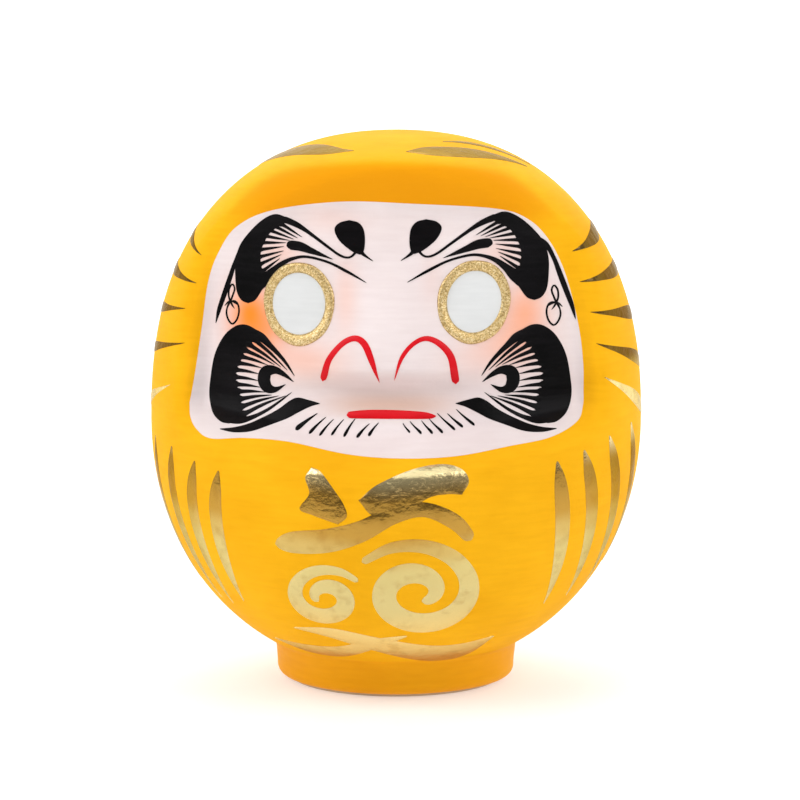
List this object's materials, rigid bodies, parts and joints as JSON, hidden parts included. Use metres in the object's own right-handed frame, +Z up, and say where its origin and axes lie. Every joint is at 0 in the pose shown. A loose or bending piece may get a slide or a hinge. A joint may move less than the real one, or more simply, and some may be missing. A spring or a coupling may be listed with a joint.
{
  "type": "daruma doll",
  "caption": "Round hollow papier-mache daruma doll with a sunken painted face, standing on a small clay foot.",
  "frame": {"origin": "centre of the doll's box, at its base, on the surface it stands on", "axes": "+Z up, the face looks along -Y, +X is on the right of someone facing the doll"},
  "size_m": [0.107, 0.1044, 0.12],
  "materials": {
    "yellow_shell": "satin",
    "bare_paper": "matte",
    "clay": "matte",
    "face_paint": "satin",
    "eye_white": "satin",
    "black_paint": "gloss",
    "red_paint": "gloss",
    "gold_paint": "satin",
    "gold_glitter": "matte"
  },
  "bodies": {
    "root": {"front_shell": "yellow_shell", "back_shell": "yellow_shell", "seam_strip": "bare_paper", "clay_foot": "clay", "bottom_paper": "bare_paper"}
  },
  "joints": []
}
